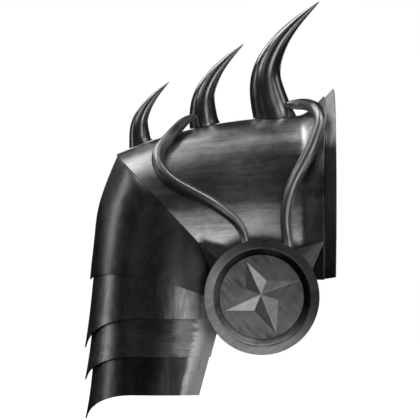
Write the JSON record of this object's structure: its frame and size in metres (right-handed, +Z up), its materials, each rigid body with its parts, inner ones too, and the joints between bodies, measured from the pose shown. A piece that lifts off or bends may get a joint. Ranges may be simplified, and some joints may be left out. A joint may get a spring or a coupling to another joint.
{
  "type": "shoulder pauldron",
  "caption": "Dark steel shoulder pauldron with a flared cap, pointed arm lames, curved horns, and a round star medallion hung on bent tubes.",
  "frame": {"origin": "the shoulder seat, under the top of the cap on its middle plane", "axes": "+X toward the neck, +Y toward the back, +Z up"},
  "size_m": [0.249, 0.2174, 0.4169],
  "materials": {
    "dark_plate": "dark brushed and smudged",
    "light_plate": "dark brushed, lighter",
    "horn_steel": "dark and smooth",
    "tube_steel": "grey and smooth",
    "medal_steel": "grey, streaked",
    "star_steel": "bright, lightly brushed"
  },
  "bodies": {
    "root": {"shoulder_cap": "dark_plate", "neck_collar": "light_plate", "arm_plate": "dark_plate", "lame_upper": "dark_plate", "lame_middle": "dark_plate", "lame_lower": "dark_plate", "horn_small": "horn_steel", "horn_middle": "horn_steel", "horn_large": "horn_steel", "tube_left": "tube_steel", "tube_right": "tube_steel", "medallion_backing": "medal_steel", "medallion_rim": "medal_steel", "medallion_dial": "medal_steel", "medallion_star": "star_steel", "medallion_post": "medal_steel"}
  },
  "joints": []
}
